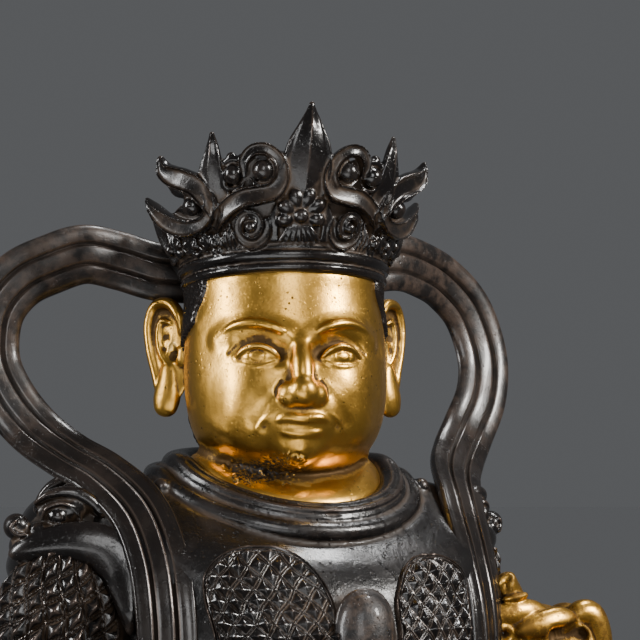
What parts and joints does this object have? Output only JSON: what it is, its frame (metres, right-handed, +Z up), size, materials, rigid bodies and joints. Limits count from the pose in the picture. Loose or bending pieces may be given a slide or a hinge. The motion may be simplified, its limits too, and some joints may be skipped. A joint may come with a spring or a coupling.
{
  "type": "guardian king bust",
  "caption": "Cast bronze bust of a lokapala guardian king in a leaf crown and scale armour, with flying ribbons and a small beast on one hand, cut flat below.",
  "frame": {"origin": "on the flat underside, below the middle of the neck", "axes": "+Z up, the chest looks along -Y, the figure's left hand with the beast lies towards +X"},
  "size_m": [0.1268, 0.067, 0.1176],
  "materials": {
    "dark_bronze": "dark brown patina, glossy where it is handled, dull brown where it is worn",
    "gilt_bronze": "worn gilding with brown in the hollows"
  },
  "bodies": {
    "root": {"lokapala_bust": "dark_bronze"}
  },
  "joints": []
}
